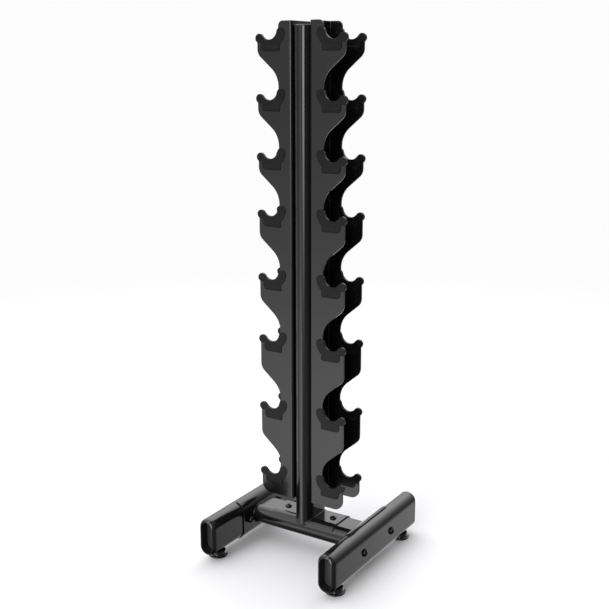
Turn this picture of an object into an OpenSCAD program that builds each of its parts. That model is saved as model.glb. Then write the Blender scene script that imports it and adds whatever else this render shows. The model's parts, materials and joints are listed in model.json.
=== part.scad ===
// Free-standing rack for eight pairs of dumbbells: an H-shaped base of flat-oval
// tube, one flat-oval post, and two U-channel brackets whose four flanges are cut
// into eight hooks each, with a moulded liner clipped on every hook.
// Millimetres, +Z up, X across the post, Y from front (-) to rear (+).
// The origin is on the floor, under the middle of the post.

/* [Hooks] */
// Height of the lowest hook tip above the floor
lowest_hook_z = 204; // [195:1:240]
// Pitch of the two lowest gaps between hooks
lower_pitch = 180; // [160:5:200]
// Pitch of the two middle gaps between hooks
middle_pitch = 160; // [140:5:180]
// Pitch of the three upper gaps between hooks
upper_pitch = 140; // [130:5:160]
// Distance from the post's middle to the outer edge of the hooks
hook_edge_x = 122.2; // [118:0.1:130]
// Distance from the post's middle to the waist between two hooks
waist_x = 62.4; // [58:0.1:68]

/* [Tube] */
// Narrow width of the flat-oval tube
tube_w = 50; // [46:1:56]
// Wide width of the flat-oval tube
tube_h = 100; // [90:1:110]
// Wall of the flat-oval tube
tube_wall = 3; // [2:0.5:4]
// Gap left between welded or bolted curved pieces
seat_gap = 0.2; // [0.1:0.05:0.3]

/* [Base] */
// Distance between the middles of the two runners
runner_spacing = 355; // [330:1:400]
// Length of each runner's tube without its end caps
runner_len = 410; // [380:2:500]
// Gap between the floor and the runners
runner_gap = 16; // [14:0.5:20]
// Height of the crossbar's middle above the runners' middle
crossbar_rise = 2; // [0:0.5:4]
// Length that an end cap adds to a runner
cap_len = 15; // [12:1:20]
// Length of the saddle plate that wraps each runner
saddle_len = 187; // [170:1:220]
// Distance between the two screws through a runner
runner_screw_gap = 142; // [130:1:160]
// Distance between the two levelling feet of a runner
foot_spacing = 342; // [320:1:360]

/* [Post and brackets] */
// Height of the post's tube end above the floor
post_top_z = 1331; // [1320:1:1336]
// Height of the brackets' top edge above the floor
bracket_top_z = 1343.5; // [1338:0.5:1350]
// Height of the brackets' bottom edge above the floor
bracket_bottom_z = 146; // [130:1:150]
// Thickness of the bracket plate
plate_t = 4; // [3:0.5:5]
// Depth of a bracket over both of its flanges
bracket_depth = 89; // [85:0.5:95]
// Length of the saddle plate under the post
post_saddle_len = 188; // [180:1:220]
// Distance between the two screws of the post's saddle
post_screw_gap = 138; // [130:1:150]

/* [Liners and feet] */
// Width of a liner along the dumbbell's handle
liner_w = 7; // [6:0.5:12]
// Radius of a liner's round tip
liner_tip_r = 10.9; // [9:0.1:12]
// Radius at the bottom of a liner's cradle
cradle_r = 22.5; // [18:0.5:24]
// Radius of a levelling foot at the floor
foot_r = 25; // [21:0.5:28]
// Height of a levelling foot's base when it is screwed right in
foot_h = 15.5; // [13:0.5:15.5]

/* [Hidden] */
$fn = 64;
SIDES = [["left", -1], ["right", 1]];
FACES = [["front", -1], ["rear", 1]];
LEVELS = [1:8];
CORNERS = [for (s = SIDES) for (f = FACES) [str(s[0], "_", f[0]), s[1], f[1]]];

// Colours
paint = [0.33, 0.33, 0.34];
plastic = [0.07, 0.07, 0.075];
liner_grey = [0.14, 0.14, 0.145];
zinc = [0.62, 0.62, 0.64];

// Base, derived
runner_x = runner_spacing / 2;
runner_z = runner_gap + tube_h / 2;
crossbar_z = runner_z + crossbar_rise;
saddle_t = 3;
saddle_grow = 2 * (seat_gap + saddle_t);
saddle_face_x = runner_x - tube_w / 2 - seat_gap - saddle_t;
saddle_edge = 3;
post_saddle_wrap = 17;
runner_hole_depth = 10;
cut = 1;
post_saddle_top_z = crossbar_z + tube_w / 2 + seat_gap + saddle_t;

// Screws, all M10
thread_r = 5;
thread_fit = 0.05;
clear_hole_r = 5.5;
screw_head_r = 8.75;
screw_head_h = 5.5;
socket_r = 3.5;
socket_depth = 3;
washer_r = 10.5;
washer_t = 2;
nut_r = 9.8;
nut_h = 8;
nut_dome_h = 5;
rivet_r = 6.5;
rivet_fit = 0.1;
rivet_len = 18;
rivet_bulge_r = 8.5;
rivet_bulge_h = 5;
short_screw_len = 20;

// Bracket, derived
hook_z = [
    for (i = [0:7])
        lowest_hook_z + lower_pitch * min(i, 2) + middle_pitch * min(max(i - 2, 0), 2)
        + upper_pitch * max(i - 4, 0)
];
web_x = tube_w / 2 + seat_gap;
flange_y = (bracket_depth - plate_t) / 2;
bend_r = 6;
first_screw = 90;
screw_pitch = 330;
bracket_screw_z = [for (i = [0:3]) bracket_bottom_z + first_screw + screw_pitch * i];

// Hook outline, measured from the tip's middle: [distance from the post, height].
// The round tip and the cradle touch each other at the lip.
plate_tip_r = 6.2;
tip_x = hook_edge_x - plate_tip_r;
lip_angle = 144.7;
cradle_c = [tip_x, 0] + (liner_tip_r + cradle_r) * [cos(lip_angle), sin(lip_angle)];
liner_wall = liner_tip_r - plate_tip_r;
plate_dip_r = cradle_r + liner_wall;
plate_dip_to = 180 + acos((cradle_c[0] - waist_x) / plate_dip_r);
waist_start = 27.5;
waist_r = 56;
shoulder_r = 26;
shoulder_z = 116;
slope_angle = 50.2;
top_corner_r = 12;
bottom_corner_r = 25;

// Liner outline, measured in the same way
slot_gap = 0.25;
slot_drop = 10;
arm_r = 11.5;
arm_angle = 191;
block_in_x = 58.4;
block_out_x = 111;
block_z = -30;
block_in_r = 3;
block_out_r = 10;
pad_c = [83, -23.5];
pad_len = 42;
pad_h = 8;
pad_t = 0.8;

// Levelling foot, derived
foot_y = foot_spacing / 2;
stud_foot_r = 8;
stud_foot_z = 4;
stud_foot_h = 3;
stud_top_z = 46;

// Points along an arc; first = 1 leaves out the one it shares with the curve before it
function arc(c, r, from, to, steps, first = 0) = [
    for (i = [first:steps])
        c + r * [cos(from + (to - from) * i / steps), sin(from + (to - from) * i / steps)]
];

// Edge of one hook from its tip to its waist, for a tip and a cradle of these radii
function hook_edge(tip_r, dip_r, tip_from, dip_to) = concat(
    arc([tip_x, 0], tip_r, tip_from, lip_angle, 14),
    arc(cradle_c, dip_r, lip_angle + 180, dip_to, 16, 1)
);

// Edge of the plate from a waist up to the next hook's outer edge
function waist_edge() = concat(
    arc([waist_x + waist_r, waist_start], waist_r, 180, 180 - slope_angle, 8),
    arc([hook_edge_x - shoulder_r, shoulder_z], shoulder_r, -slope_angle, 0, 6)
);

function lift(points, z) = [for (p = points) p + [0, z]];

// Whole outline of a bracket's flange
function flange_outline() = concat(
    [[web_x + bend_r, bracket_bottom_z]],
    arc([hook_edge_x - bottom_corner_r, bracket_bottom_z + bottom_corner_r], bottom_corner_r, -90, 0, 9),
    [
        for (i = [0:7])
            each lift(concat(
                hook_edge(plate_tip_r, plate_dip_r, 0, plate_dip_to),
                i < 7 ? waist_edge() : []
            ), hook_z[i])
    ],
    arc([waist_x - top_corner_r, bracket_top_z - top_corner_r], top_corner_r, 0, 90, 6),
    [[web_x + bend_r, bracket_top_z]]
);

// Outline of a liner, and of the slot in it that takes the flange
function liner_outline() =
    let (
        out = [cos(arm_angle), sin(arm_angle)],
        arm_c = cradle_c + (cradle_r + arm_r) * out,
        back_r = cradle_r + 2 * arm_r,
        meet = 180 + acos((cradle_c[0] - block_in_x) / back_r),
        tip_from = -180 + acos((tip_x - block_out_x) / liner_tip_r)
    )
    concat(
        hook_edge(liner_tip_r, cradle_r, tip_from, arm_angle),
        arc(arm_c, arm_r, arm_angle - 180, arm_angle, 14, 1),
        arc(cradle_c, back_r, arm_angle, meet, 8, 1),
        arc([block_in_x + block_in_r, block_z + block_in_r], block_in_r, 180, 270, 5),
        arc([block_out_x - block_out_r, block_z + block_out_r], block_out_r, 270, 360, 8)
    );

function slot_outline() = concat(
    [[web_x, block_z - slot_drop], [hook_edge_x + slot_gap, block_z - slot_drop]],
    hook_edge(plate_tip_r + slot_gap, plate_dip_r - slot_gap, 0, plate_dip_to),
    [[waist_x + slot_gap, waist_start], [web_x, waist_start]]
);

// Flat-oval section, w wide and h high
module flat_oval(w, h) {
    square([w, h - w], center = true);
    for (s = [-1, 1])
        translate([0, s * (h - w) / 2]) circle(d = w);
}

// Solid flat-oval bar along Y, X or Z
module bar_y(w, h, length) {
    rotate([90, 0, 0]) linear_extrude(length, center = true) flat_oval(w, h);
}

module bar_x(w, h, length) {
    rotate([0, 90, 0]) linear_extrude(length, center = true) flat_oval(w, h);
}

// Solid of revolution stretched into a flat oval; the profile is [radius, height]
module oval_turned(profile, stretch) {
    flip = [for (i = [len(profile) - 1:-1:0]) [-profile[i][0], profile[i][1]]];
    for (s = [0, 1])
        mirror([0, s, 0]) translate([0, stretch / 2, 0])
            rotate_extrude(angle = 180) polygon(profile);
    rotate([90, 0, 0]) linear_extrude(stretch, center = true) polygon(concat(profile, flip));
}

// Plate in the X-Z plane, centred on a distance from the post's middle plane
module upright_plate(points, thickness, y) {
    translate([0, y + thickness / 2, 0]) rotate([90, 0, 0])
        linear_extrude(thickness) polygon(points);
}

// Places children at both screws of the post's saddle
module at_post_screws() {
    for (s = [-1, 1])
        translate([s * post_screw_gap / 2, 0, post_saddle_top_z]) children();
}

// Places children at the bracket screws, with their axis out of the web
module at_bracket_screws() {
    for (s = [-1, 1], z = bracket_screw_z)
        translate([s * (web_x + plate_t), 0, z]) rotate([0, s * 90, 0]) children();
}

// Places children at the runner screws, with their axis out of the runner
module at_runner_screws() {
    for (s = [-1, 1], e = [-1, 1])
        translate([s * (runner_x + tube_w / 2), e * runner_screw_gap / 2, runner_z])
            rotate([0, s * 90, 0]) children();
}

// Button-head socket screw along +Z, with its head's seat at the origin
module screw(length) {
    edge_h = 1;
    dome_h = screw_head_h - edge_h;
    head = concat(
        [[0, 0], [screw_head_r, 0]],
        [for (i = [0:7]) [screw_head_r * cos(i * 90 / 8), edge_h + dome_h * sin(i * 90 / 8)]],
        [[0, screw_head_h]]
    );
    difference() {
        union() {
            rotate_extrude() polygon(head);
            translate([0, 0, -length]) cylinder(r = thread_r, h = length + cut);
        }
        translate([0, 0, screw_head_h - socket_depth])
            cylinder(r = socket_r, h = socket_depth + cut, $fn = 6);
    }
}

// Threaded insert, flush at z = 0 with its blind side down
module rivet_nut() {
    bulge_z = -tube_wall - 2 - rivet_bulge_h;
    difference() {
        union() {
            translate([0, 0, -rivet_len]) cylinder(r = rivet_r, h = rivet_len);
            translate([0, 0, bulge_z]) cylinder(r = rivet_bulge_r, h = rivet_bulge_h);
        }
        translate([0, 0, -rivet_len - cut])
            cylinder(r = thread_r + thread_fit, h = rivet_len + 2 * cut);
    }
}

// Cap nut on a screw that points along -Z, with its seat at z = 0
module dome_nut() {
    dome_r = 7.5;
    dome = concat(
        [for (i = [0:7]) [dome_r * cos(i * 90 / 8), nut_h + nut_dome_h * sin(i * 90 / 8)]],
        [[0, nut_h + nut_dome_h], [0, 0], [dome_r, 0]]
    );
    difference() {
        union() {
            cylinder(r = nut_r, h = nut_h, $fn = 6);
            rotate_extrude() polygon(dome);
        }
        translate([0, 0, -cut]) cylinder(r = thread_r + thread_fit, h = nut_h + 2 * cut);
    }
}

module runner(side) {
    color(paint)
        difference() {
            translate([side * runner_x, 0, runner_z]) difference() {
                bar_y(tube_w, tube_h, runner_len);
                bar_y(tube_w - 2 * tube_wall, tube_h - 2 * tube_wall, runner_len + 2 * cut);
            }
            for (e = [-1, 1]) {
                translate([side * runner_x, e * runner_screw_gap / 2, runner_z]) rotate([0, 90, 0])
                    cylinder(r = clear_hole_r, h = tube_w + 2 * cut, center = true);
                translate([side * runner_x, e * foot_y, runner_gap - cut])
                    cylinder(r = rivet_r + rivet_fit, h = runner_hole_depth);
            }
        }
}

module crossbar() {
    color(paint)
        difference() {
            translate([0, 0, crossbar_z]) difference() {
                bar_x(tube_w, tube_h, 2 * saddle_face_x);
                bar_x(tube_w - 2 * tube_wall, tube_h - 2 * tube_wall, 2 * (saddle_face_x + cut));
            }
            at_post_screws() cylinder(r = rivet_r + rivet_fit, h = 6 * tube_wall, center = true);
        }
}

// Plate bent round the inner half of a runner, welded to the crossbar's end
module runner_saddle(side) {
    color(paint)
        difference() {
            translate([side * runner_x, 0, runner_z]) difference() {
                bar_y(tube_w + saddle_grow, tube_h + saddle_grow, saddle_len);
                bar_y(tube_w + 2 * seat_gap, tube_h + 2 * seat_gap, saddle_len + 2 * cut);
                translate([side * (tube_w - saddle_edge), 0, 0])
                    cube([2 * tube_w, saddle_len + 2 * cut, 2 * tube_h], center = true);
            }
            for (e = [-1, 1])
                translate([side * saddle_face_x, e * runner_screw_gap / 2, runner_z]) rotate([0, 90, 0])
                    cylinder(r = clear_hole_r, h = 4 * saddle_t, center = true);
        }
}

// Plate bent over the crossbar, welded to the post's foot
module post_saddle() {
    color(paint)
        difference() {
            translate([0, 0, crossbar_z]) difference() {
                bar_x(tube_w + saddle_grow, tube_h + saddle_grow, post_saddle_len);
                bar_x(tube_w + 2 * seat_gap, tube_h + 2 * seat_gap, post_saddle_len + 2 * cut);
            }
            translate([0, 0, crossbar_z + post_saddle_wrap - tube_h])
                cube([post_saddle_len + 2 * cut, 2 * tube_h, 2 * tube_h], center = true);
            at_post_screws() cylinder(r = clear_hole_r, h = 4 * saddle_t, center = true);
        }
}

// Upright, its foot coped to the saddle plate
module post() {
    color(paint)
        difference() {
            translate([0, 0, crossbar_z]) linear_extrude(post_top_z - crossbar_z) difference() {
                flat_oval(tube_w, tube_h);
                flat_oval(tube_w - 2 * tube_wall, tube_h - 2 * tube_wall);
            }
            translate([0, 0, crossbar_z])
                bar_x(tube_w + saddle_grow + seat_gap, tube_h + saddle_grow + seat_gap, 2 * tube_w);
            for (z = bracket_screw_z)
                translate([0, 0, z]) rotate([0, 90, 0])
                    cylinder(r = rivet_r + rivet_fit, h = tube_w + 2 * cut, center = true);
        }
}

// Plastic plug that closes the post's top
module post_cap() {
    cap_h = 3;
    round_r = 2;
    plug_len = 15;
    plug_wall = 2;
    plug_r = tube_w / 2 - tube_wall - seat_gap;
    hollow = 2 * (plug_r - plug_wall);
    profile = concat(
        [[0, -plug_len], [plug_r, -plug_len], [plug_r, 0], [tube_w / 2, 0]],
        arc([tube_w / 2 - round_r, cap_h - round_r], round_r, 0, 90, 4),
        [[0, cap_h]]
    );
    color(plastic)
        translate([0, 0, post_top_z]) difference() {
            oval_turned(profile, tube_h - tube_w);
            translate([0, 0, -plug_len - cut])
                linear_extrude(plug_len) flat_oval(hollow, tube_h - tube_w + hollow);
        }
}

// Plug for a runner's end: a rounded collar with a deep oval recess in its face
module runner_cap() {
    round_r = 11;
    rim = 8;
    recess = 28;
    recess_floor = 3;
    plug_len = recess + recess_floor - cap_len;
    plug_r = tube_w / 2 - tube_wall - seat_gap;
    profile = concat(
        [[0, -plug_len], [plug_r, -plug_len], [plug_r, 0], [tube_w / 2, 0]],
        arc([tube_w / 2 - round_r, cap_len - round_r], round_r, 0, 90, 8),
        [[0, cap_len]]
    );
    difference() {
        oval_turned(profile, tube_h - tube_w);
        translate([0, 0, cap_len - recess])
            linear_extrude(recess + cut) flat_oval(tube_w - 2 * rim, tube_h - 2 * rim);
    }
}

module placed_cap(side, face) {
    color(plastic)
        translate([side * runner_x, face * runner_len / 2, runner_z])
            rotate([-90 * face, 0, 0]) runner_cap();
}

// Channel bent from one plate: a web on the post's flat side and two hooked flanges
module bracket(side) {
    leg_x = web_x + 2 * bend_r;
    half_y = bracket_depth / 2;
    bend_c = [web_x + bend_r, half_y - bend_r];
    inner_r = bend_r - plate_t;
    channel = concat(
        [[leg_x, -half_y]],
        arc([bend_c[0], -bend_c[1]], bend_r, 270, 180, 8),
        arc(bend_c, bend_r, 180, 90, 8),
        [[leg_x, half_y], [leg_x, half_y - plate_t]],
        arc(bend_c, inner_r, 90, 180, 8),
        arc([bend_c[0], -bend_c[1]], inner_r, 180, 270, 8),
        [[leg_x, plate_t - half_y]]
    );
    color(paint)
        mirror([side < 0 ? 1 : 0, 0, 0]) difference() {
            union() {
                translate([0, 0, bracket_bottom_z])
                    linear_extrude(bracket_top_z - bracket_bottom_z) polygon(channel);
                for (f = [-1, 1])
                    upright_plate(flange_outline(), plate_t, f * flange_y);
            }
            for (z = bracket_screw_z)
                translate([web_x, 0, z]) rotate([0, 90, 0])
                    cylinder(r = clear_hole_r, h = 3 * plate_t, center = true);
        }
}

module runner_screws() {
    nut_grip = 7;
    color(zinc)
        at_runner_screws() translate([0, 0, washer_t])
            screw(washer_t + tube_w + seat_gap + saddle_t + nut_grip);
}

module runner_washers() {
    color(zinc)
        at_runner_screws() difference() {
            cylinder(r = washer_r, h = washer_t);
            translate([0, 0, -cut]) cylinder(r = clear_hole_r, h = washer_t + 2 * cut);
        }
}

module runner_nuts() {
    color(zinc)
        at_runner_screws()
            translate([0, 0, -(tube_w + seat_gap + saddle_t)]) mirror([0, 0, 1]) dome_nut();
}

module short_screws() {
    color(zinc) {
        at_post_screws() screw(short_screw_len);
        at_bracket_screws() screw(short_screw_len);
    }
}

module rivet_nuts() {
    color(zinc) {
        at_post_screws() translate([0, 0, -saddle_t - seat_gap]) rivet_nut();
        at_bracket_screws() translate([0, 0, -plate_t - seat_gap]) rivet_nut();
        for (c = CORNERS)
            translate([c[1] * runner_x, c[2] * foot_y, runner_gap + seat_gap])
                mirror([0, 0, 1]) rivet_nut();
    }
}

// Moulded base of a levelling foot, closed round the stud's flange
module foot_base(side, face) {
    rim_h = 4;
    rim_round = 1;
    flare_r = 5;
    flare_end = 258;
    top_round = 1.5;
    neck_r = foot_r - flare_r;
    profile = concat(
        [[0, 0], [foot_r - rim_round, 0], [foot_r, rim_round]],
        arc([foot_r - rim_round, rim_h - rim_round], rim_round, 0, 90, 3),
        arc([neck_r + flare_r, rim_h + flare_r], flare_r, flare_end, 180, 6),
        arc([neck_r - top_round, foot_h - top_round], top_round, 0, 90, 4),
        [[0, foot_h]]
    );
    color(plastic)
        translate([side * runner_x, face * foot_y, 0]) difference() {
            rotate_extrude() polygon(profile);
            translate([0, 0, stud_foot_z]) cylinder(r = thread_r + thread_fit, h = foot_h);
            translate([0, 0, stud_foot_z - seat_gap])
                cylinder(r = stud_foot_r + seat_gap, h = stud_foot_h + 2 * seat_gap);
        }
}

module foot_stud(side, face) {
    color(zinc)
        translate([side * runner_x, face * foot_y, stud_foot_z]) {
            cylinder(r = thread_r, h = stud_top_z - stud_foot_z);
            cylinder(r = stud_foot_r, h = stud_foot_h);
        }
}

// Moulded cradle that clips over one hook: a solid lip, a cheek on each face of the
// flange, and a raised pad on each cheek
module liner(side, face, level) {
    color(liner_grey)
        mirror([side < 0 ? 1 : 0, 0, 0]) translate([0, face * flange_y, hook_z[level - 1]])
            difference() {
                union() {
                    upright_plate(liner_outline(), liner_w, 0);
                    translate([pad_c[0], 0, pad_c[1]]) rotate([90, 0, 0])
                        linear_extrude(liner_w + 2 * pad_t, center = true) rotate(90)
                            flat_oval(pad_h, pad_len);
                }
                upright_plate(slot_outline(), plate_t + 2 * slot_gap, 0);
            }
}

runner(-1);  // left_runner
runner(1);  // right_runner
crossbar();
runner_saddle(-1);  // left_saddle
runner_saddle(1);  // right_saddle
post_saddle();
post();
post_cap();
bracket(-1);  // left_bracket
bracket(1);  // right_bracket
runner_screws();
runner_washers();
runner_nuts();
short_screws();
rivet_nuts();
for (c = CORNERS) {
    placed_cap(c[1], c[2]);
    foot_base(c[1], c[2]);
    foot_stud(c[1], c[2]);
    for (level = LEVELS)
        liner(c[1], c[2], level);
}
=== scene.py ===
"""Looks for the dumbbell rack: painted tube and plate, moulded liners, plastic caps and feet."""

import json
import math

import bmesh
import bpy
from mathutils import Matrix, Vector


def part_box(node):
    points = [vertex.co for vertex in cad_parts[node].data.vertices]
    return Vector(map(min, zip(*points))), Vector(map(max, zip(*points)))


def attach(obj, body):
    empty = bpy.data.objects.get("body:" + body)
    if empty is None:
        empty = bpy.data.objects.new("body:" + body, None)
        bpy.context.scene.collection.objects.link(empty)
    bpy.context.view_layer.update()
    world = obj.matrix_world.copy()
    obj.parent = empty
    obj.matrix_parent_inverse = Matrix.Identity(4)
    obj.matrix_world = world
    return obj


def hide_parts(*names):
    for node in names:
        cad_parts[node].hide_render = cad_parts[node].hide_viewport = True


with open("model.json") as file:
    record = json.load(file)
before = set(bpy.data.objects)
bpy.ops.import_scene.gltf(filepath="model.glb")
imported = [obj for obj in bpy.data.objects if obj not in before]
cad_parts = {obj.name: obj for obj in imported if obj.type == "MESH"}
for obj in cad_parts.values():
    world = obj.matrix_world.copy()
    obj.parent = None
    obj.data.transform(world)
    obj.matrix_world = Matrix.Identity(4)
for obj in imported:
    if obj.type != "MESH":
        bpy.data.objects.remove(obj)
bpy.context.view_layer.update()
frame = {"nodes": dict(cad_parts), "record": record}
nodes = frame["nodes"]
scene = bpy.context.scene

# Camera, in metres and degrees
CAMERA_AT = (1.2774, -2.0400, 1.2372)
CAMERA_YAW = 32.421
CAMERA_TILT = 13.507
CAMERA_ROLL = -0.1
CAMERA_LENS = 58.395
SENSOR = 36.0


def make_camera():
    data = bpy.data.cameras.new("camera")
    data.lens = CAMERA_LENS
    data.sensor_width = SENSOR
    data.clip_end = 60
    camera = bpy.data.objects.new("camera", data)
    yaw = Matrix.Rotation(math.radians(CAMERA_YAW), 4, "Z")
    tilt = Matrix.Rotation(math.radians(90 - CAMERA_TILT), 4, "X")
    roll = Matrix.Rotation(math.radians(CAMERA_ROLL), 4, "Z")
    camera.matrix_world = Matrix.Translation(CAMERA_AT) @ yaw @ tilt @ roll
    scene.collection.objects.link(camera)
    scene.camera = camera


make_camera()


# ---------------------------------------------------------------- node helpers
class Tree:
    """Short calls for making and linking shader nodes."""

    def __init__(self, tree):
        self.tree = tree
        tree.nodes.clear()

    def add(self, kind, **inputs):
        node = self.tree.nodes.new("ShaderNode" + kind)
        for name, value in inputs.items():
            self.put(node, name, value)
        return node

    def put(self, node, name, value):
        key = int(name[1:]) if name[0] == "i" and name[1:].isdigit() else name.replace("_", " ")
        socket = node.inputs[key]
        if isinstance(value, bpy.types.NodeSocket):
            self.tree.links.new(value, socket)
        else:
            socket.default_value = value

    def math(self, operation, a, b=0.0):
        node = self.add("Math", i0=a, i1=b)
        node.operation = operation
        return node.outputs[0]

    def span(self, value, low, high, to_low, to_high, smooth=False):
        ends = {"From_Min": low, "From_Max": high, "To_Min": to_low, "To_Max": to_high}
        node = self.add("MapRange", Value=value, **ends)
        node.interpolation_type = "SMOOTHSTEP" if smooth else "LINEAR"
        return node.outputs[0]

    def mix(self, share, a, b):
        node = self.add("Mix")
        node.data_type = "RGBA"
        for index, value in ((0, share), (6, a), (7, b)):
            if isinstance(value, bpy.types.NodeSocket):
                self.tree.links.new(value, node.inputs[index])
            else:
                node.inputs[index].default_value = value
        return node.outputs[2]

    def curve(self, value, points, most):
        """Value read off a polyline of (value, result) points, results up to most."""
        low, high = points[0][0], points[-1][0]
        ramp = self.add("ValToRGB", Fac=self.span(value, low, high, 0, 1))
        stops = ramp.color_ramp.elements
        while len(stops) < len(points):
            stops.new(0.5)
        for stop, (place, result) in zip(stops, points):
            stop.position = (place - low) / (high - low)
            stop.color = (result / most,) * 3 + (1,)
        return self.math("MULTIPLY", ramp.outputs["Color"], most)

    def noise(self, where, scale, detail=2.0, rough=0.5):
        node = self.add("TexNoise", Vector=where, Scale=scale, Detail=detail, Roughness=rough)
        return node.outputs["Fac"]


# Stretch of a noise's values that a finish's drift is spread over
NOISE_LOW, NOISE_HIGH = 0.3, 0.7
SPECK_ROUGH = 0.02
BUMP_STRENGTH = 0.6


def grey(value, blue=1.02):
    return (value, value, value * blue, 1)


# ---------------------------------------------------------------- studio
HORIZON = [
    # sine of the elevation, brightness of the studio there
    (-1.0, 0.12),
    (-0.80, 0.2),
    (-0.57, 0.9),
    (-0.375, 2.2),
    (-0.276, 1.75),
    (-0.18, 1.15),
    (-0.05, 0.85),
    (0.05, 0.80),
    (0.20, 1.1),
    (0.43, 2.2),
    (0.60, 3.1),
    (0.80, 3.3),
    (1.0, 3.0),
]
AROUND = [
    # degrees from the front toward +X, share of that brightness
    (-180, 1.0),
    (-100, 0.9),
    (-75, 0.6),
    (-56, 0.40),
    (-44, 0.62),
    (-31, 1.0),
    (-17, 1.45),
    (-8, 1.1),
    (3, 0.18),
    (95, 0.13),
    (135, 0.26),
    (150, 0.46),
    (165, 0.75),
    (180, 1.0),
]
STRIP = [
    # sine of the elevation, brightness of the tall strip light
    (-0.33, 0.0),
    (-0.28, 0.3),
    (-0.233, 0.9),
    (-0.18, 2.0),
    (-0.13, 3.1),
    (-0.05, 5.5),
    (0.0, 7.0),
    (0.5, 7.5),
    (0.7, 0.0),
]
STRIP_FROM, STRIP_TO, STRIP_BLUR = 4, 24, 4
BRIGHTEST = 8.0
BACKDROP = 0.975


def make_world():
    world = bpy.data.worlds.new("studio")
    world.use_nodes = True
    scene.world = world
    t = Tree(world.node_tree)
    axes = t.add("SeparateXYZ", Vector=t.add("TexCoord").outputs["Generated"])
    up = axes.outputs["Z"]
    front = t.math("MULTIPLY", axes.outputs["Y"], -1.0)
    round_about = t.math("DEGREES", t.math("ARCTAN2", axes.outputs["X"], front))
    base = t.math("MULTIPLY", t.curve(up, HORIZON, BRIGHTEST), t.curve(round_about, AROUND, BRIGHTEST))
    enters = t.span(round_about, STRIP_FROM - STRIP_BLUR, STRIP_FROM + STRIP_BLUR, 0, 1, True)
    leaves = t.span(round_about, STRIP_TO - STRIP_BLUR, STRIP_TO + STRIP_BLUR, 1, 0, True)
    strip = t.math("MULTIPLY", t.math("MULTIPLY", enters, leaves), t.curve(up, STRIP, BRIGHTEST))
    studio = t.add("Background", Color=grey(1), Strength=t.math("ADD", base, strip))
    backdrop = t.add("Background", Color=grey(BACKDROP, 1), Strength=1.0)
    seen = t.add("LightPath").outputs["Is Camera Ray"]
    both = t.add("MixShader", i0=seen, i1=studio.outputs[0], i2=backdrop.outputs[0])
    t.add("OutputWorld", Surface=both.outputs[0])


# Painted pool of light: the floor's colour is paler near the rack and darker farther out, over this reach of
# distance
PAINTED_POOL_NEAR, PAINTED_POOL_FAR = 0.67, 0.61
PAINTED_POOL_REACH = (0.3, 1.3)
# Distance from the rack over which the floor turns into the backdrop
FLOOR_FADE = (1.5, 4.0)


def make_floor():
    mesh = bpy.data.meshes.new("floor")
    reach = 30
    corners = [(-reach, -reach, 0), (reach, -reach, 0), (reach, reach, 0), (-reach, reach, 0)]
    mesh.from_pydata(corners, [], [(0, 1, 2, 3)])
    floor = bpy.data.objects.new("floor", mesh)
    scene.collection.objects.link(floor)
    material = bpy.data.materials.new("floor")
    material.use_nodes = True
    t = Tree(material.node_tree)
    where = t.add("NewGeometry").outputs["Position"]
    away = t.add("VectorMath", i0=where)
    away.operation = "LENGTH"
    far = t.span(away.outputs["Value"], *PAINTED_POOL_REACH, 0, 1, True)
    # Painted pool of light round the rack: paler floor colour near it, darker farther away
    painted_pool = t.mix(far, grey(PAINTED_POOL_NEAR, 1), grey(PAINTED_POOL_FAR, 1))
    plain = t.add("BsdfDiffuse", Color=painted_pool)
    glow = t.add("Emission", Color=grey(BACKDROP, 1))
    faded = t.span(away.outputs["Value"], *FLOOR_FADE, 0, 1, True)
    shader = t.add("MixShader", i0=faded, i1=plain.outputs[0], i2=glow.outputs[0])
    t.add("OutputMaterial", Surface=shader.outputs[0])
    mesh.materials.append(material)
    floor.visible_glossy = False
    floor.visible_diffuse = False


make_world()
make_floor()
scene.view_settings.view_transform = "Standard"


# ---------------------------------------------------------------- materials
def surface(
    name, dark, light, rough, patch, grain, grain_depth, metal=0.0, shine=0.5, dull_and_painted_light_inside=None
):
    """Procedural finish: colour and roughness drift over patches, with a fine grain in relief. Given the
    plane of a recess floor, it turns dull nearer the middle plane than that, and its colour a little paler
    there: painted light on the recess floor."""
    material = bpy.data.materials.new(name)
    material.use_nodes = True
    t = Tree(material.node_tree)
    where = t.add("TexCoord").outputs["Object"]
    drift = t.noise(where, 1 / patch, 3.0, 0.55)
    speck = t.noise(where, 1 / grain, 2.0, 0.6)
    colour = t.mix(t.span(drift, NOISE_LOW, NOISE_HIGH, 0, 1), grey(dark), grey(light))
    wide = t.span(drift, NOISE_LOW, NOISE_HIGH, rough[0], rough[1])
    fine = t.span(speck, NOISE_LOW, NOISE_HIGH, -SPECK_ROUGH, SPECK_ROUGH)
    roughness = t.math("ADD", wide, fine)
    if dull_and_painted_light_inside:
        depth = t.math("ABSOLUTE", t.add("SeparateXYZ", Vector=where).outputs["Y"])
        dull_and_painted_light_share = t.span(depth, dull_and_painted_light_inside - 0.001, dull_and_painted_light_inside + 0.001, 1, 0)
        # Painted light: the recess floor's colour is paler, standing in for light that reaches it
        colour = t.mix(dull_and_painted_light_share, colour, grey(RECESS_PAINTED_LIGHT))
        roughness = t.math("ADD", roughness, t.math("MULTIPLY", dull_and_painted_light_share, MATTE_ROUGH))
    bump = t.add("Bump", Strength=BUMP_STRENGTH, Distance=grain_depth, Height=speck)
    shader = t.add("BsdfPrincipled", Base_Color=colour, Roughness=roughness, Metallic=metal)
    t.put(shader, "Normal", bump.outputs[0])
    shader.inputs["Specular IOR Level"].default_value = shine
    t.add("OutputMaterial", Surface=shader.outputs[0])
    return material


# The floor of the caps' recess is duller than the rest, and paler as painted light standing in for light
# that reaches it, only to match the picture
RECESS_DEPTH = 0.0265
RECESS_PAINTED_LIGHT = 0.035
MATTE_ROUGH = 0.3
recess_y = -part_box("right_front_cap")[0][1] - RECESS_DEPTH

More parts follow.
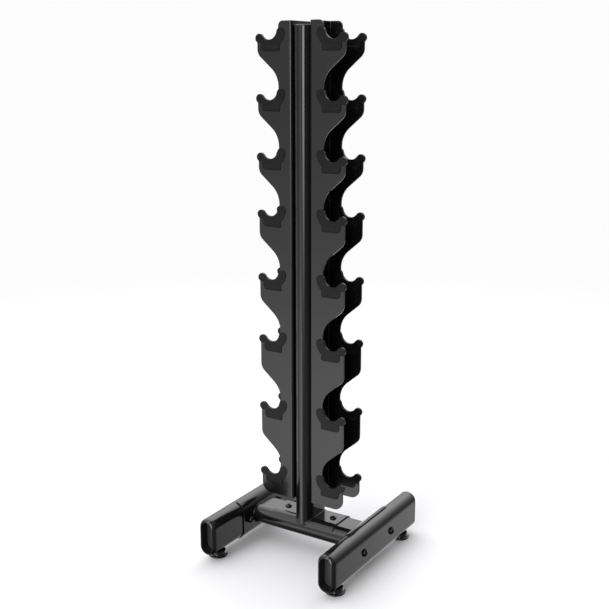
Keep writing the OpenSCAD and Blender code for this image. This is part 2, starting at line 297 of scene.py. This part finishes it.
MATERIALS = {
    "frame_paint": surface("powder_coat", 0.004, 0.006, (0.12, 0.17), 0.09, 0.0011, 0.00001),
    "liner_plastic": surface("liner_plastic", 0.003, 0.005, (0.28, 0.36), 0.02, 0.0004, 0.00002, shine=0.19),
    "black_plastic": surface(
        "cap_plastic", 0.003, 0.005, (0.14, 0.19), 0.03, 0.0006, 0.00001, dull_and_painted_light_inside=recess_y
    ),
    "foot_rubber": surface("foot_rubber", 0.002, 0.004, (0.12, 0.18), 0.02, 0.0005, 0.00001),
    "zinc_steel": surface("black_zinc", 0.02, 0.05, (0.22, 0.32), 0.004, 0.0003, 0.00001, metal=1.0),
}


# ---------------------------------------------------------------- CAD nodes
SAME_POINT = 1e-6
FLAT_ANGLE = 0.5
NORMAL_WEIGHT = 60


def soften(obj, width, segments=3, angle=30):
    """Rounds a node's sharp edges by a real bevel, and shades the rest smooth."""
    weld = obj.modifiers.new("join", "WELD")
    weld.merge_threshold = SAME_POINT
    flat = obj.modifiers.new("flats", "DECIMATE")
    flat.decimate_type = "DISSOLVE"
    flat.angle_limit = math.radians(FLAT_ANGLE)
    bevel = obj.modifiers.new("edges", "BEVEL")
    bevel.width = width
    bevel.segments = segments
    bevel.limit_method = "ANGLE"
    bevel.angle_limit = math.radians(angle)
    bevel.use_clamp_overlap = False
    bevel.harden_normals = False
    normals = obj.modifiers.new("normals", "WEIGHTED_NORMAL")
    normals.keep_sharp = False
    normals.weight = NORMAL_WEIGHT


BEVELS = {
    "frame_paint": 0.0006,
    "liner_plastic": 0.0005,
    "black_plastic": 0.0008,
    "foot_rubber": 0.0006,
    "zinc_steel": 0.0003,
}
slots = {part["node"]: part["material_slot"] for part in frame["record"]["subparts"]}
for name, node in nodes.items():
    slot = slots[name]
    node.data.materials.clear()
    node.data.materials.append(MATERIALS[slot])
    soften(node, BEVELS[slot])


# ---------------------------------------------------------------- pieces made here
def new_piece(name, points, faces, slot, body):
    """Smooth-shaded mesh piece with the slot's finish, riding on a body."""
    mesh = bpy.data.meshes.new(name)
    mesh.from_pydata(points, [], faces)
    work = bmesh.new()
    work.from_mesh(mesh)
    bmesh.ops.remove_doubles(work, verts=work.verts, dist=1e-7)
    bmesh.ops.recalc_face_normals(work, faces=work.faces)
    work.to_mesh(mesh)
    work.free()
    mesh.shade_smooth()
    mesh.materials.append(MATERIALS[slot])
    obj = bpy.data.objects.new(name, mesh)
    scene.collection.objects.link(obj)
    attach(obj, body)
    return obj


def grid_faces(rows, columns, start=0):
    """Quads between rows of points, each row closed on itself."""
    quads = []
    for row in range(rows - 1):
        for column in range(columns):
            after = (column + 1) % columns
            low, high = start + row * columns, start + (row + 1) * columns
            quads.append((low + column, low + after, high + after, high + column))
    return quads


THREAD_PITCH = 0.0015
THREAD_DEPTH = 0.00092
THREAD_STEPS = 24
THREAD_R = 0.005
STUD_CHAMFER = 0.0005
SHARP_ANGLE = 35
STUD_FLANGE_R = 0.008
STUD_FLANGE_H = 0.003


def threaded_stud(name, node, body):
    """Levelling foot's stud with a real helical thread, in place of its plain CAD cylinder."""
    low, high = (Vector(corner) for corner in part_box(node))
    axis = (low + high) / 2
    crest = THREAD_R
    root = crest - THREAD_DEPTH
    bottom, top = low.z + STUD_FLANGE_H, high.z - THREAD_PITCH
    # One thread's section, from root to crest and back: radius and share of the pitch
    section = [(root, 0.0), (root, 0.12), (crest, 0.45), (crest, 0.60), (root, 1.0)]
    turns = math.floor((top - bottom) / THREAD_PITCH)
    points, faces = [], []
    for step in range(turns * THREAD_STEPS + 1):
        turn = step / THREAD_STEPS
        angle = turn * math.tau
        start = bottom + turn * THREAD_PITCH
        for radius, share in section:
            x, y = axis.x + radius * math.cos(angle), axis.y + radius * math.sin(angle)
            points.append((x, y, start + share * THREAD_PITCH))
    width = len(section)
    for step in range(turns * THREAD_STEPS):
        for column in range(width - 1):
            corner = step * width + column
            faces.append((corner, corner + 1, corner + width + 1, corner + width))
    # Core and flange, turned about the axis
    profile = [
        (STUD_FLANGE_R, low.z),
        (STUD_FLANGE_R, bottom),
        (root, bottom),
        (root, high.z - STUD_CHAMFER),
        (root - STUD_CHAMFER, high.z),
    ]
    first = len(points)
    for radius, height in profile:
        for step in range(THREAD_STEPS):
            angle = step / THREAD_STEPS * math.tau
            points.append((axis.x + radius * math.cos(angle), axis.y + radius * math.sin(angle), height))
    faces += grid_faces(len(profile), THREAD_STEPS, first)
    last = len(points) - THREAD_STEPS
    faces.append(tuple(range(first, first + THREAD_STEPS))[::-1])
    faces.append(tuple(range(last, last + THREAD_STEPS)))
    piece = new_piece(name, points, faces, "zinc_steel", body)
    smooth = piece.modifiers.new("edges", "EDGE_SPLIT")
    smooth.split_angle = math.radians(SHARP_ANGLE)
    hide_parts(node)


def oval_path(half_wide, half_narrow, steps):
    """Closed flat-oval path: points along its long axis and across it, evenly spaced."""
    straight = 2 * (half_wide - half_narrow)
    bend = math.pi * half_narrow
    around = 2 * (straight + bend)
    path = []
    for step in range(steps):
        run = around * step / steps
        back = run >= around / 2
        run -= around / 2 if back else 0
        if run < straight:
            place = (straight / 2 - run, half_narrow)
        else:
            angle = math.pi / 2 + (run - straight) / half_narrow
            place = (-straight / 2 + half_narrow * math.cos(angle), half_narrow * math.sin(angle))
        path.append((-place[0], -place[1]) if back else place)
    return path


BEAD_R = 0.0021
BEAD_RIPPLE = 0.0003
BEAD_PITCH = 4
BEAD_SIDES = 10
BEAD_STEPS = 260


def weld_bead(name, path, body):
    """Rippled fillet weld laid along a closed path, under the paint."""
    count = len(path)
    points = []
    for index, here in enumerate(path):
        along = (path[(index + 1) % count] - path[index - 1]).normalized()
        side = along.cross(Vector((0, 0, 1)) if abs(along.z) < 0.9 else Vector((1, 0, 0))).normalized()
        rise = side.cross(along)
        radius = BEAD_R - BEAD_RIPPLE * (index % BEAD_PITCH) / (BEAD_PITCH - 1)
        for step in range(BEAD_SIDES):
            angle = step / BEAD_SIDES * math.tau
            points.append(here + radius * (math.cos(angle) * side + math.sin(angle) * rise))
    faces = grid_faces(count, BEAD_SIDES)
    for column in range(BEAD_SIDES):
        after = (column + 1) % BEAD_SIDES
        last = (count - 1) * BEAD_SIDES
        faces.append((last + column, last + after, after, column))
    return new_piece(name, points, faces, "frame_paint", body)


def weld_beads():
    post_low, post_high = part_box("post")
    saddle_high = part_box("post_saddle")[1]
    bar_low, bar_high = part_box("crossbar")
    middle_z = (bar_low[2] + bar_high[2]) / 2
    bend = saddle_high[2] - middle_z
    flat = (bar_high[1] - bar_low[1] - bar_high[2] + bar_low[2]) / 2
    foot = []
    for y, x in oval_path((post_high[1] - post_low[1]) / 2, (post_high[0] - post_low[0]) / 2, BEAD_STEPS):
        over = max(abs(y) - flat, 0)
        foot.append(Vector((x, y, middle_z + math.sqrt(bend**2 - over**2))))
    weld_bead("post_weld", foot, "frame")
    end = oval_path((bar_high[1] - bar_low[1]) / 2, (bar_high[2] - bar_low[2]) / 2, BEAD_STEPS)
    for name, x in (("left_bar_weld", bar_low[0]), ("right_bar_weld", bar_high[0])):
        weld_bead(name, [Vector((x, y, middle_z + z)) for y, z in end], "frame")


weld_beads()
for body, members in frame["record"]["behaviour"]["bodies"].items():
    for name in members:
        if name.endswith("_foot_stud"):
            threaded_stud(name.replace("foot_stud", "thread"), name, body)
